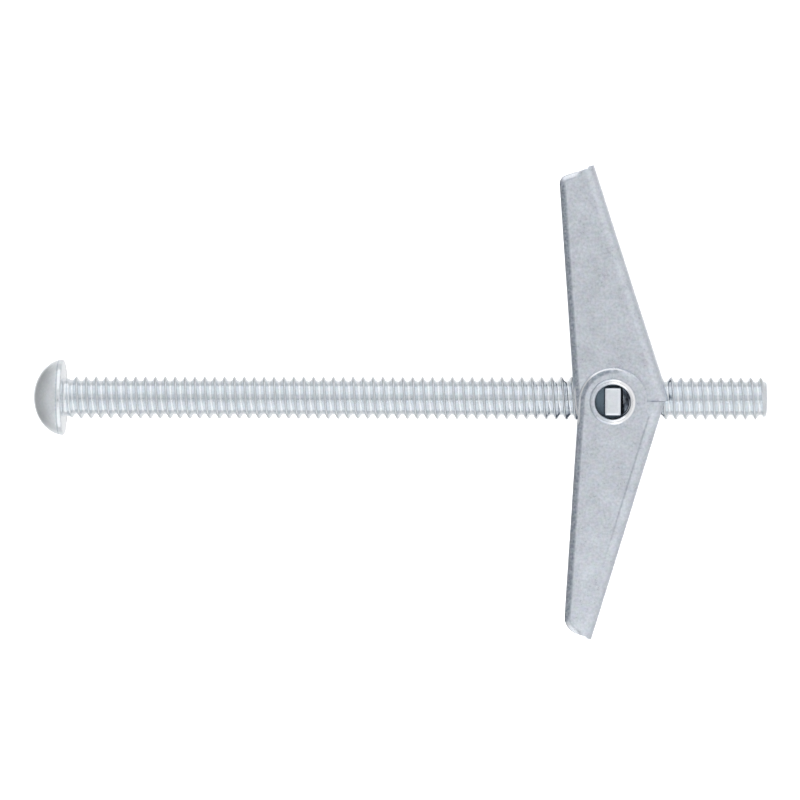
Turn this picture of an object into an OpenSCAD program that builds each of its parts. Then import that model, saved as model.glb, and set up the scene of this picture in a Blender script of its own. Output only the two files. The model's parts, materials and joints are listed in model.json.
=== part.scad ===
// Spring toggle bolt: a round-head machine screw, the stamped nut that runs on it, the two
// sheet-steel wings that fold on the nut, and the wire spring that holds them open.
// The origin lies on the screw's axis at the bearing face under the head. +X runs along the
// screw to its tip, +Y along the upper (inner) wing, and the wings fold about an axis along Z.

/* [Screw] */
// Length from the bearing face under the head to the tip
screw_l = 75; // [60:0.5:150]
// Outside diameter of the thread
thread_d = 4.55; // [3.5:0.05:5.5]
// Threads to the inch
threads_per_inch = 24; // [16:1:32]
// Depth of the thread from crest to root
thread_depth = 0.5; // [0.3:0.02:0.6]
// Width of the flat on each thread crest
crest_w = 0.13; // [0.08:0.01:0.2]
// Length of the chamfer at the tip
tip_chamfer = 0.6; // [0.3:0.1:1]
// Diameter of the plain neck under the head
neck_d = 4.05; // [3.4:0.05:4.4]
// Length of the plain neck
neck_l = 0.9; // [0.6:0.1:5]
// Radius of the fillet where the neck meets the bearing face
neck_fillet = 0.3; // [0.3:0.05:0.4]

/* [Head] */
// Diameter of the round head, over its rim
head_d = 8.14; // [7:0.02:10]
// Height of the head above its bearing face
head_h = 3.32; // [2.6:0.02:4]
// Thickness of the head's rim
rim_h = 0.55; // [0.5:0.05:0.9]
// How far the rim stands out past the dome
rim_step = 0.07; // [0.04:0.01:0.2]
// Radius of the rim's corners
rim_r = 0.18; // [0.1:0.01:0.24]
// How far the centre of the dome's curve lies past the bearing face
dome_sink = 0.13; // [0:0.01:0.3]
// Width of the driver slot
slot_w = 1.15; // [0.8:0.05:1.4]
// Depth of the driver slot from the top of the head
slot_depth = 1.7; // [1:0.1:2.2]

/* [Nut] */
// Distance from the screw's tip back to the axis that the wings fold on
nut_from_tip = 16.35; // [3:0.05:30]
// Thickness of the nut's plate, along the screw
plate_t = 1.7; // [1:0.1:2.2]
// Height of the two tabs that carry the wings, across the screw
tab_h = 2.95; // [2:0.05:3.4]
// Wall left beside the threaded hole at the plate's narrow sides
side_wall = 0.27; // [0.2:0.01:0.8]
// Wall above and below the threaded hole
end_wall = 1.07; // [0.8:0.01:1.4]
// Corner radius of the plate
plate_corner = 1.1; // [0.5:0.1:1.8]
// Length of the collar that is drawn out of the plate, towards the head
collar_l = 1.4; // [0.8:0.1:2]
// Wall of the collar
collar_wall = 0.75; // [0.5:0.05:1]

/* [Wings] */
// Thickness of the sheet that the wings are pressed from
sheet_t = 0.6; // [0.4:0.05:0.8]
// Outer radius of the bends between web and flanges
bend_r = 1.05; // [0.8:0.05:1.4]
// Inner wing: radius of its ears
inner_ear_r = 4.08; // [3.4:0.02:4.2]
// Inner wing: distance from the folding axis to the outside of its web
inner_web_off = 5.63; // [5.5:0.01:7]
// Inner wing: lean of its web from square to the screw, in degrees
inner_web_lean = 17.85; // [10:0.05:24]
// Inner wing: taper between its web and its free edges, in degrees
inner_taper = 13.9; // [8:0.1:15]
// Inner wing: length from the folding axis to the end of its flanges
inner_flange_l = 24.3; // [20:0.05:28]
// Inner wing: corner radius at the end of its flanges
inner_corner_r = 0.95; // [0.5:0.05:1.8]
// Outer wing: radius of its ears
outer_ear_r = 3.62; // [3.3:0.02:4.2]
// Outer wing: distance from the folding axis to the outside of its web
outer_web_off = 5.27; // [5.2:0.01:7]
// Outer wing: lean of its web from square to the screw, in degrees
outer_web_lean = 16.95; // [10:0.05:24]
// Outer wing: taper between its web and its free edges, in degrees
outer_taper = 13.3; // [8:0.1:15]
// Outer wing: length from the folding axis to the end of its flanges
outer_flange_l = 24.75; // [20:0.05:28]
// Outer wing: corner radius at the end of its flanges
outer_corner_r = 1.8; // [0.5:0.05:1.9]
// How far each web reaches past the end of its flanges
web_overrun = 0.15; // [0.1:0.05:0.6]

/* [Hubs] */
// Wall of the hubs that are drawn out of the inner wing's ears
hub_wall = 0.3; // [0.2:0.01:0.4]
// How far each hub's lip is rolled out past its tube
lip_over = 0.3; // [0.2:0.01:0.45]
// How far the end of each tab lies below the top of its hub
tab_sink = 0.4; // [0.2:0.05:0.8]

/* [Spring] */
// Diameter of the spring's wire
wire_d = 0.4; // [0.3:0.02:0.5]
// Distance along each web from the folding axis to the wire that presses on it
leg_reach = 6; // [5:0.1:9]
// Length of the feet bent inwards at the ends of the wire
foot_l = 1.6; // [1:0.1:2.4]
// Radius of the wire's bends
wire_bend = 0.6; // [0.4:0.05:0.8]
// How far the centre of the coil lies behind the folding axis
coil_back = 0.2; // [0:0.05:0.3]

/* [Fits] */
// Running clearance between screw and nut, on the radius
thread_gap = 0.055; // [0.02:0.005:0.1]
// Running clearance between the hubs and the outer wing's holes, on the radius
hinge_gap = 0.06; // [0.02:0.01:0.1]
// Clearance between the tabs' corners and the hubs' bores
tab_gap = 0.15; // [0.05:0.01:0.3]
// Side clearance between the inner and the outer wing
wing_gap = 0.08; // [0.05:0.01:0.2]
// Clearance round the spring's wire
wire_gap = 0.05; // [0.02:0.01:0.1]
// Gap at the crease where the two webs meet when the wings are open
crease_gap = 0.1; // [0.05:0.01:0.3]
// Clearance between the screw and the notch in the webs
notch_gap = 0.35; // [0.2:0.05:0.5]

/* [Hidden] */
$fn = 64;

thread_r = thread_d / 2;
root_r = thread_r - thread_depth;
pitch = 25.4 / threads_per_inch;
flank_angle = 30;
flank_w = thread_depth * tan(flank_angle);
root_w = pitch - crest_w - 2 * flank_w;
runout_l = neck_l + abs(thread_d - neck_d) / 2;
grooves = floor((screw_l - tip_chamfer - runout_l - crest_w) / pitch);

pivot_x = screw_l - nut_from_tip;
bore_r = thread_r + thread_gap;
nut_w = 2 * (bore_r + side_wall);
nut_h = 2 * (bore_r + end_wall);
tab_corner_r = norm([plate_t, tab_h]) / 2;

// Places across the screw, from its axis outwards: two turns of wire lie beside the nut,
// then come the inner wing's ear, the outer wing's ear and the hub's lip.
near_wire_z = nut_w / 2 + wire_gap + wire_d / 2;
far_wire_z = near_wire_z + wire_d + wire_gap;
inner_half = far_wire_z + wire_d / 2 + wire_gap + sheet_t;
outer_half = inner_half + wing_gap + sheet_t;

hub_bore_r = tab_corner_r + tab_gap;
hub_r = hub_bore_r + hub_wall;
lip_r = hub_r + lip_over;
lip_half_w = (lip_r - hub_bore_r) / 2;
lip_z = outer_half + wing_gap;
hub_top = lip_z + lip_half_w;

// The legs push the coil back, so its centre lies behind the folding axis, and the tab's two
// front corners lie against the inside of the coil.
coil_r = norm([plate_t / 2 + coil_back, tab_h / 2]) + wire_gap + wire_d / 2;

// Flats that make up the curve of the head's dome
dome_steps = 16;
// How far a wing's free edge starts inside its ear, so that the two join cleanly
lap = 0.005;
// Flats that make up each wing's rounded corner
corner_steps = 8;

steel = "#c6ccd6";
nut_steel = "#d2d5dc";
wire_steel = "#a4a9b2";

// ---------- screw ----------

// Half outline of the head, from its axis at the top over the dome and round the rim to the
// bearing face. Each point is [radius, place along the screw].
function head_outline() =
    let (
        dome_h = head_h + dome_sink,
        base_a = asin((rim_h + dome_sink) / dome_h),
        dome_r = (head_d / 2 - rim_step) / cos(base_a),
        corner = [head_d / 2 - rim_r, -rim_h + rim_r]
    )
    [
        for (i = [0:dome_steps])
            let (a = 90 - (90 - base_a) * i / dome_steps)
            [dome_r * cos(a), dome_sink - dome_h * sin(a)],
        for (a = [60:-30:0]) corner + rim_r * [cos(a), -sin(a)],
        for (a = [0:-30:-90]) [corner[0], -rim_r] + rim_r * [cos(a), -sin(a)]
    ];

// Fillet between the bearing face and the neck
function neck_outline() =
    [
        for (a = [90:-15:0])
            [neck_d / 2 + neck_fillet * (1 - cos(a)), neck_fillet * (1 - sin(a))]
    ];

// Crests and roots of the thread as far as the tip's chamfer
function thread_outline() =
    [
        [neck_d / 2, neck_l],
        for (i = [0:grooves - 1])
            let (x = runout_l + i * pitch)
            each [
                [thread_r, x],
                [thread_r, x + crest_w],
                [root_r, x + crest_w + flank_w],
                [root_r, x + crest_w + flank_w + root_w]
            ],
        [thread_r, runout_l + grooves * pitch],
        [thread_r, screw_l - tip_chamfer],
        [root_r, screw_l],
        [0, screw_l]
    ];

module screw() {
    color(steel)
    difference() {
        rotate([0, 90, 0])
        rotate_extrude()
        polygon(concat(head_outline(), neck_outline(), thread_outline()));

        translate([-head_h, 0, 0])
        cube([2 * slot_depth, 2 * head_d, slot_w], center = true);
    }
}

function reverse(list) = [for (i = [len(list) - 1:-1:0]) list[i]];

// ---------- nut ----------

// A rectangle w by h about the origin, with corners of radius r
module rounded_rectangle(w, h, r) {
    square([w - 2 * r, h], center = true);
    square([w, h - 2 * r], center = true);
    for (x = [-1, 1], y = [-1, 1])
        translate([x * (w / 2 - r), y * (h / 2 - r)])
        circle(r);
}

module nut() {
    color(nut_steel)
    translate([pivot_x, 0, 0])
    difference() {
        union() {
            rotate([90, 0, 90])
            linear_extrude(plate_t, center = true) {
                rounded_rectangle(nut_h, nut_w, plate_corner);
                square([tab_h, 2 * (hub_top - tab_sink)], center = true);
            }

            intersection() {
                rotate([0, -90, 0])
                cylinder(r = bore_r + collar_wall, h = plate_t / 2 + collar_l);

                cube([4 * collar_l + 2 * plate_t, nut_h, nut_w], center = true);
            }
        }

        rotate([0, 90, 0])
        cylinder(r = bore_r, h = 4 * (plate_t + collar_l), center = true);
    }
}

// ---------- wings ----------

// Block with the side view of a wing, in the wing's own frame: the web runs along +Y at
// x = web_off, and the round ear is centred on the folding axis. The crease where the wing ends
// is square to the screw.
module wing_block(ear_r, web_off, lean, taper, flange_l, corner_r, half_w) {
    corner_y = flange_l - corner_r;
    corner = [(sin(taper) * corner_y - (ear_r - corner_r)) / cos(taper), corner_y];
    crease_y = (crease_gap / 2 - sin(lean) * web_off) / cos(lean);

    cylinder(r = ear_r, h = 2 * half_w, center = true);
    linear_extrude(2 * half_w, center = true)
    polygon([
        (ear_r - lap) * [-cos(taper), sin(taper)],
        for (k = [0:corner_steps])
            let (a = 180 - taper - (90 - taper) * k / corner_steps)
            corner + corner_r * [cos(a), sin(a)],
        [web_off - sheet_t, flange_l],
        [web_off - sheet_t, flange_l + web_overrun],
        [web_off, flange_l + web_overrun],
        [web_off, crease_y],
        crease_gap / 2 * [sin(lean), cos(lean)]
    ]);
}

// Solid bar that fills a channel: flat at x = side, with two rounded edges there
module channel_bar(side, half_w, r, back) {
    translate([-back, -half_w])
    square([side - r + back, 2 * half_w]);
    translate([side - r - r, r - half_w])
    square([2 * r, 2 * (half_w - r)]);
    for (s = [-1, 1])
        translate([side - r, s * (half_w - r)])
        circle(r);
}

// Section of the bent sheet, square to the web
module channel_section(web_off, half_w) {
    difference() {
        channel_bar(web_off, half_w, bend_r, 2 * web_off);
        channel_bar(web_off - sheet_t, half_w - sheet_t, bend_r - sheet_t, 3 * web_off);
    }
}

// The bent sheet of one wing: its section run along the web and cut to its side view
module wing_sheet(ear_r, web_off, lean, taper, flange_l, corner_r, half_w) {
    difference() {
        rotate([0, 0, lean])
        intersection() {
            translate([0, flange_l + 2 * web_overrun, 0])
            rotate([90, 0, 0])
            linear_extrude(flange_l + 2 * web_off)
            channel_section(web_off, half_w);

            wing_block(ear_r, web_off, lean, taper, flange_l, corner_r, half_w);
        }

        // half of the notch that lets the screw through where the webs meet
        rotate([0, 90, 0])
        cylinder(r = thread_r + notch_gap, h = 2 * web_off);
    }
}

// A hub drawn out of one ear, through the outer wing's ear, with its lip rolled outwards
module hub() {
    rotate_extrude()
    difference() {
        union() {
            translate([hub_bore_r, inner_half - sheet_t / 2])
            square([hub_wall, lip_z - inner_half + sheet_t / 2]);

            translate([(hub_bore_r + lip_r) / 2, lip_z])
            circle(lip_half_w);
        }

        // the lip's flat underside
        translate([hub_r, lip_z - 2 * lip_half_w])
        square(2 * lip_half_w);

        translate([0, lip_z - 2 * lip_half_w])
        square([hub_bore_r, 4 * lip_half_w]);
    }
}

module wing_inner() {
    color(steel)
    translate([pivot_x, 0, 0]) {
        difference() {
            wing_sheet(inner_ear_r, inner_web_off, inner_web_lean, inner_taper,
                       inner_flange_l, inner_corner_r, inner_half);
            cylinder(r = hub_bore_r, h = 3 * inner_half, center = true);
        }
        for (side = [0, 1])
            mirror([0, 0, side])
            hub();
    }
}

module wing_outer() {
    color(steel)
    translate([pivot_x, 0, 0])
    mirror([0, 1, 0])
    difference() {
        wing_sheet(outer_ear_r, outer_web_off, outer_web_lean, outer_taper,
                   outer_flange_l, outer_corner_r, outer_half);
        cylinder(r = hub_r + hinge_gap, h = 3 * outer_half, center = true);
    }
}

// ---------- spring ----------

// Where the wire touches the inside of a web: [x, y] from the centre of the coil
function web_touch(web_off, lean) =
    let (off = web_off - sheet_t - wire_gap - wire_d / 2)
    [
        off * cos(lean) - leg_reach * sin(lean) + coil_back,
        off * sin(lean) + leg_reach * cos(lean)
    ];

// Angle at which a straight leg from that point runs into the coil
function tangent_angle(p) = atan2(p[1], p[0]) - acos(coil_r / norm(p));

// A bend of the wire at p, from direction a to direction b, which are square to each other
function wire_corner(p, a, b) =
    [
        for (k = [0:30:90])
            p + wire_bend * (b - a + a * sin(k) - b * cos(k))
    ];

// One half of the spring, from the foot on the outer wing's web round the coil to the
// middle of the bridge that presses on the inner wing's web
function half_spring() =
    let (
        outer_touch = web_touch(outer_web_off, outer_web_lean),
        inner_touch = web_touch(inner_web_off, inner_web_lean),
        foot = [outer_touch[0], -outer_touch[1], near_wire_z],
        knee = [inner_touch[0], inner_touch[1], far_wire_z],
        from_a = -tangent_angle(outer_touch),
        to_a = 360 + tangent_angle(inner_touch),
        steps = 24,
        start = [coil_r * cos(from_a), coil_r * sin(from_a), near_wire_z],
        end = [coil_r * cos(to_a), coil_r * sin(to_a), far_wire_z],
        into = (start - foot) / norm(start - foot),
        out = (knee - end) / norm(knee - end)
    )
    [
        foot - [0, 0, foot_l],
        each wire_corner(foot, [0, 0, 1], into),
        for (i = [0:steps])
            let (a = from_a + (to_a - from_a) * i / steps)
            [coil_r * cos(a), coil_r * sin(a), near_wire_z + (far_wire_z - near_wire_z) * i / steps],
        each wire_corner(knee, out, [0, 0, -1])
    ];

function unit(v) = v / norm(v);

// Direction of a path at its point i
function heading(path, i) =
    unit(path[min(i + 1, len(path) - 1)] - path[max(i - 1, 0)]);

function square_to(v, t) = unit(v - (v * t) * t);

// A round wire along a path, as rings of points joined by quads
module wire(path, d, sides) {
    last = len(path) - 1;
    headings = [for (i = [0:last]) heading(path, i)];
    across = [
        for (i = 0, n = square_to([1, 0, 0.3], headings[0]); i <= last;
             i = i + 1, n = i <= last ? square_to(n, headings[i]) : n)
            n
    ];
    points = [
        for (i = [0:last], k = [0:sides - 1])
            let (a = 360 * k / sides)
            path[i] + d / 2 * (cos(a) * across[i] + sin(a) * cross(headings[i], across[i]))
    ];
    walls = [
        for (i = [0:last - 1], k = [0:sides - 1])
            let (next = (k + 1) % sides)
            [i * sides + k, (i + 1) * sides + k, (i + 1) * sides + next, i * sides + next]
    ];
    ends = [
        [for (k = [0:sides - 1]) k],
        [for (k = [sides - 1:-1:0]) last * sides + k]
    ];
    polyhedron(points, concat(walls, ends));
}

module spring() {
    half = half_spring();
    other_half = [for (p = reverse(half)) [p[0], p[1], -p[2]]];

    color(wire_steel)
    translate([pivot_x - coil_back, 0, 0])
    wire(concat(half, other_half), wire_d, 8);
}

screw();
nut();
wing_inner();
wing_outer();
spring();
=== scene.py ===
"""Spring toggle bolt, dressed for rendering.

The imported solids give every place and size. The screw gets its true helical thread, the
pressed wings their rolled edges, the nut its broken corners and the spring a round wire, and
each of them its own finish: bright zinc plate, or plain drawn wire.
"""

import json
import math

import bmesh
import bpy
from mathutils import Matrix, Vector
from mathutils.geometry import delaunay_2d_cdt


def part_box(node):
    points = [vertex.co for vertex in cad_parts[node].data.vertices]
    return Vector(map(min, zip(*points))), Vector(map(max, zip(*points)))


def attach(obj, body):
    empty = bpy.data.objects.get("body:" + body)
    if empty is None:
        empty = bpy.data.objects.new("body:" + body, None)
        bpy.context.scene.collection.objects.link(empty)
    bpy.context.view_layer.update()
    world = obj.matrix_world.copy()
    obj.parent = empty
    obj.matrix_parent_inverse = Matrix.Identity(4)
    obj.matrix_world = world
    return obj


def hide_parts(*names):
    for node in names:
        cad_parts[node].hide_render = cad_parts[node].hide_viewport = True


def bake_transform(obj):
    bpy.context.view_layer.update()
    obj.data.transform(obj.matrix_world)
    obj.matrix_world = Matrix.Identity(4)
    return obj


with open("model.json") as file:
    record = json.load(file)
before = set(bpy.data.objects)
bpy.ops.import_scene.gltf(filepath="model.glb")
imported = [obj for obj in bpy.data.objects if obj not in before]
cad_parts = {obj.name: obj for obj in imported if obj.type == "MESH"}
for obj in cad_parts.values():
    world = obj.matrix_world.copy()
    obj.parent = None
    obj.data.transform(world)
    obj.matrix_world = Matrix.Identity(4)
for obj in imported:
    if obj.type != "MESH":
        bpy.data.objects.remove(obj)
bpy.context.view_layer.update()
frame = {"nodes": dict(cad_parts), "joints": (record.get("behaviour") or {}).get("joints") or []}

MM = 0.001
# Points closer than this are in the same place
TINY = 0.01 * MM

# ---------- sizes, in metres ----------

HEAD_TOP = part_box("screw")[0].x
SCREW_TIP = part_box("screw")[1].x
HEAD_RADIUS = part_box("screw")[1].z
HINGE_X = next(j for j in frame["joints"] if j["name"] == "inner_wing_fold")["pos_m"][0]
HUB_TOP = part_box("wing_inner")[1].z
OUTER_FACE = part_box("wing_outer")[1].z
SHEET = 0.6 * MM
SIDE_GAP = 0.08 * MM
INNER_FACE = OUTER_FACE - SHEET - SIDE_GAP

# Screw
TURN_SIDES = 64
PITCH = 25.4 * MM / 24
CREST_RADIUS = 2.275 * MM
ROOT_RADIUS = 1.775 * MM
NECK_RADIUS = 2.025 * MM
NECK_FILLET = 0.3 * MM
CREST_WIDTH = 0.13 * MM
FLANK_SLOPE = math.radians(60)
FIRST_CREST = 1.33 * MM
RUNOUT_START = 0.3 * MM
RUNOUT_LENGTH = 0.8 * MM
TIP_CHAMFER = 0.6 * MM
SECTION_POINTS = 14

# Head
RIM_HEIGHT = 0.55 * MM
RIM_STEP = 0.03 * MM
RIM_ROUND = 0.18 * MM
DOME_SINK = 0.13 * MM
SLOT_WIDTH = 1.15 * MM
SLOT_DEPTH = 1.7 * MM
SLOT_BREAK = 0.05 * MM
DOME_RINGS = 28

# Rolled and broken edges of the sheet
BEND_RADIUS = 1.05 * MM
EDGE_ROLL = 0.7 * MM
ROLL_DEPTH = 0.48 * MM
ROLL_FADE = 1.6 * MM
ROLL_RINGS = 7
ROLL_SPACING = 0.5 * MM
LIP_RADIUS = 2.452 * MM
BORE_RADIUS = 1.852 * MM
EDGE_BREAK = 0.08 * MM
CREASE_STARTS = 3 * MM
CREASE_GAP = 0.1 * MM
CREASE_CLOSED = 0.04 * MM
CREASE_FADE = 2.9 * MM
TIP_STARTS = 22 * MM
TIP_SKEW = 0.3 * MM
EAR_REACH = 4.3 * MM

# A darker line along the outer wing's bend: its half width, and where it starts, fades, ends
BEND_LINE = 0.15 * MM
LINE_STARTS = 1.5 * MM
LINE_FADES = 11 * MM
LINE_ENDS = 19 * MM

# Nut
NUT_BREAK = 0.12 * MM
TAB_CROWN = 0.35 * MM
CROWN_FLAT = 0.45
TAB_SHOWS = 4.2 * MM
UNDER_BORE = 2.5 * MM

# Painted light on the wings: the painted shade band along a rolled edge, a dark reflection
# painted into the colour, which fades towards the web and the tip, and the painted highlights
SHADE_REACH = 1.2 * MM
SHADE_FADE = 3 * MM
SHADE_BAND_TO = 23.4 * MM
TIP_FADE = 0.9 * MM
EAR_BRIGHT = 1.5
EAR_HIGHLIGHT = 0.8
CORNER_HIGHLIGHT = 0.3
# How much painted shade darkens the hubs' bores and the hidden nut, from 0 to 1
BORE_SHADE = 0.4
NUT_SHADE = 0.55

# Spring
WIRE = 0.4 * MM
WIRE_BEND = 0.6 * MM
WIRE_GAP = 0.05 * MM
WIRE_SIDES = 16
WIRE_STEP = 0.12 * MM
COIL_BACK = 0.2 * MM
COIL_RADIUS = math.hypot(0.85 * MM + COIL_BACK, 1.475 * MM) + WIRE_GAP + WIRE / 2
FAR_WIRE = INNER_FACE - SHEET - WIRE_GAP - WIRE / 2
NEAR_WIRE = FAR_WIRE - WIRE - WIRE_GAP
FOOT = 1.6 * MM
LEG_REACH = 6 * MM
INNER_WEB = (5.63 * MM, math.radians(17.85))
OUTER_WEB = (5.27 * MM, math.radians(16.95))


# ---------- small helpers ----------


def link(obj):
    """Puts obj in the scene, and gives it back."""
    bpy.context.scene.collection.objects.link(obj)
    return obj


def mesh_piece(name, bm):
    """A new object with that mesh, at the origin."""
    mesh = bpy.data.meshes.new(name)
    bm.to_mesh(mesh)
    bm.free()
    return link(bpy.data.objects.new(name, mesh))


def finished(obj):
    """obj's mesh with its modifiers applied, so that none of them stays live."""
    depsgraph = bpy.context.evaluated_depsgraph_get()
    mesh = bpy.data.meshes.new_from_object(obj.evaluated_get(depsgraph), depsgraph=depsgraph)
    obj.modifiers.clear()
    old, obj.data = obj.data, mesh
    bpy.data.meshes.remove(old)
    mesh.name = obj.name
    return obj


def shade(obj, crease):
    """Smooth shading, with edges sharper than crease kept crisp."""
    obj.data.shade_smooth()
    obj.data.set_sharp_from_angle(angle=crease)
    return obj


class Tree:
    """Adds nodes to a node tree and links them, so that a rule reads from top to bottom."""

    def __init__(self, tree):
        self.tree = tree

    def node(self, kind, inputs=None, **settings):
        made = self.tree.nodes.new(kind)
        for name, value in settings.items():
            setattr(made, name, value)
        for name, value in (inputs or {}).items():
            self.feed(made.inputs[name], value)
        return made

    def feed(self, socket, value):
        if isinstance(value, bpy.types.NodeSocket):
            self.tree.links.new(value, socket)
        else:
            socket.default_value = value

    def calc(self, operation, *values):
        """One math node: its values are numbers or sockets."""
        made = self.node("ShaderNodeMath", operation=operation)
        for socket, value in zip(made.inputs, values):
            self.feed(socket, value)
        return made.outputs[0]

    def scaled(self, vector, factor):
        """A vector or colour times a number."""
        made = self.node("ShaderNodeVectorMath", {0: vector, "Scale": factor}, operation="SCALE")
        return made.outputs[0]

    def mixed(self, factor, one, two):
        """The colour that far on the way from one to two."""
        made = self.node("ShaderNodeMix", {"Factor": factor}, data_type="RGBA")
        self.feed(made.inputs[6], one)
        self.feed(made.inputs[7], two)
        return made.outputs[2]

    def object_place(self):
        """Where a point lies on the piece itself."""
        return self.node("ShaderNodeTexCoord").outputs["Object"]


def add_sockets(tree, direction, sockets):
    """Named sockets of a node group: name -> (kind, value)."""
    for name, (kind, value) in sockets.items():
        made = tree.interface.new_socket(name, in_out=direction, socket_type=kind)
        if value is not None:
            made.default_value = value


def set_inputs(modifier, values):
    """Sets a Geometry Nodes modifier's inputs, each by its socket's identifier."""
    for item in modifier.node_group.interface.items_tree:
        if item.item_type == "SOCKET" and item.in_out == "INPUT" and item.name in values:
            modifier[item.identifier] = values[item.name]


def shape_curve(node, points):
    """Gives a Float Curve node straight runs between these points."""
    curve = node.mapping.curves[0]
    for place, height in points[1:-1]:
        curve.points.new(place, height)
    curve.points[0].location = points[0]
    curve.points[-1].location = points[-1]
    for point in curve.points:
        point.handle_type = "VECTOR"
    node.mapping.update()


# ---------- finishes ----------

WHITE = (1, 1, 1, 1)
# The colour of the painted highlights
HIGHLIGHT_ZINC = (0.93, 0.94, 0.96, 1)
# What the plate's colour is multiplied by: in the painted shade along a rolled edge and on the
# darker bend line, and in the painted shade of recesses
SHADE_AND_LINE_TINT = (0.40, 0.43, 0.47, 1)
RECESS_SHADE_TINT = (0.19, 0.245, 0.285)
# How much of the edge band's darkening the line along the bend shows
LINE_SHARE = 0.55
# How much darker and rougher a thread's crests are
CREST_DARKER = 0.14
CREST_ROUGHER = 0.06


def new_material(name, metallic=1.0):
    """A new material, with a Tree on its nodes and its shader."""
    material = bpy.data.materials.new(name)
    material.use_nodes = True
    shader = material.node_tree.nodes["Principled BSDF"]
    shader.inputs["Metallic"].default_value = metallic
    return material, Tree(material.node_tree), shader


def zinc_plate_group():
    """Cloudy zinc plate: a fine mottle with faint tints, and a matching roughness and relief."""
    tree = bpy.data.node_groups.new("zinc plate", "ShaderNodeTree")
    add_sockets(tree, "INPUT", {
        "Colour": ("NodeSocketColor", (0.7, 0.73, 0.78, 1)),
        "Mottle size": ("NodeSocketFloat", 0.35),
        "Mottle depth": ("NodeSocketFloat", 0.1),
        "Tint depth": ("NodeSocketFloat", 0.03),
        "Roughness": ("NodeSocketFloat", 0.3),
        "Relief": ("NodeSocketFloat", 0.2),
        **{mask: ("NodeSocketFloat", 0.0) for mask in ("Edge", "Recess", "Highlight", "Dull", "Line")},
    })
    add_sockets(tree, "OUTPUT", {
        "Colour": ("NodeSocketColor", None),
        "Roughness": ("NodeSocketFloat", None),
        "Height": ("NodeSocketFloat", None),
    })
    t = Tree(tree)
    given = t.node("NodeGroupInput").outputs
    place = t.object_place()
    scale = t.calc("DIVIDE", 1 / MM, given["Mottle size"])

    grain = t.node("ShaderNodeTexNoise", {
        "Vector": place, "Scale": scale, "Detail": 3.0, "Roughness": 0.6})
    cloud = t.node("ShaderNodeTexNoise", {
        "Vector": place, "Scale": t.calc("MULTIPLY", scale, 0.16), "Detail": 2.0})
    tint = t.node("ShaderNodeTexNoise", {
        "Vector": place, "Scale": t.calc("MULTIPLY", scale, 0.5), "Detail": 1.0})

    fine = t.calc("SUBTRACT", grain.outputs["Fac"], 0.5)
    broad = t.calc("SUBTRACT", cloud.outputs["Fac"], 0.5)
    mottle = t.calc("MULTIPLY_ADD", broad, 0.5, fine)
    strength = t.calc("MULTIPLY", mottle, t.calc("MULTIPLY", given["Mottle depth"], 2.0))
    level = t.calc("ADD", strength, 1.0)

    lit = t.scaled(given["Colour"], level)
    hue = t.node("ShaderNodeVectorMath", {0: tint.outputs["Color"], 1: (0.5, 0.5, 0.5)},
                 operation="SUBTRACT")
    faint = t.scaled(hue.outputs[0], given["Tint depth"])
    colour = t.node("ShaderNodeVectorMath", {0: lit, 1: faint}, operation="ADD")

    # Painted shade: a band along the rolled edges, a dark reflection painted into the colour and
    # spotted by the pits, with the darker bend line added in
    band = t.node("ShaderNodeFloatCurve", {"Value": given["Edge"]})
    shape_curve(band, ((0.0, 0.0), (0.01, 0.5), (0.05, 1.0), (0.4, 0.95), (0.6, 0.2),
                       (1.0, 0.0)))
    pits = t.node("ShaderNodeTexNoise", {
        "Vector": place, "Scale": t.calc("MULTIPLY", scale, 1.1), "Detail": 2.0})
    speck = t.node("ShaderNodeMapRange", {
        "Value": pits.outputs["Fac"], "From Min": 0.35, "From Max": 0.65,
        "To Min": 0.55, "To Max": 1.0})
    marked = t.calc("MAXIMUM", band.outputs[0],
                    t.calc("MULTIPLY", given["Line"], LINE_SHARE))
    shade_band_and_line = t.calc("MULTIPLY", speck.outputs[0], marked)
    dull = t.calc("SUBTRACT", 1.0, t.calc("MULTIPLY", given["Dull"], CREST_DARKER))
    crested = t.scaled(colour.outputs[0], dull)
    grey = t.mixed(shade_band_and_line, WHITE, SHADE_AND_LINE_TINT)
    spotted = t.node("ShaderNodeVectorMath", {0: crested, 1: grey},
                     operation="MULTIPLY").outputs[0]
    # Painted shade in recesses: the colour darkened towards the recess shade tint
    recess_shaded = t.node("ShaderNodeVectorMath", {0: spotted, 1: RECESS_SHADE_TINT}, operation="MULTIPLY")
    coated = t.mixed(given["Recess"], spotted, recess_shaded.outputs[0])
    # Painted highlights: the colour brightened towards the highlight zinc, where the plate is
    # also smoother
    bright = t.mixed(given["Highlight"], coated, HIGHLIGHT_ZINC)

    rough = t.calc("ADD", given["Roughness"], t.calc("MULTIPLY", mottle, 0.12))
    rough = t.calc("ADD", rough, t.calc("MULTIPLY", shade_band_and_line, 0.1))
    rough = t.calc("SUBTRACT", rough, t.calc("MULTIPLY", given["Highlight"], 0.14))
    rough = t.calc("ADD", rough, t.calc("MULTIPLY", given["Dull"], CREST_ROUGHER))
    height = t.calc("MULTIPLY", t.calc("ADD", fine, t.calc("MULTIPLY", shade_band_and_line, -0.5)),
                    given["Relief"])
    out = t.node("NodeGroupOutput").inputs
    t.feed(out["Colour"], bright)
    t.feed(out["Roughness"], rough)
    t.feed(out["Height"], height)
    return tree


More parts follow.
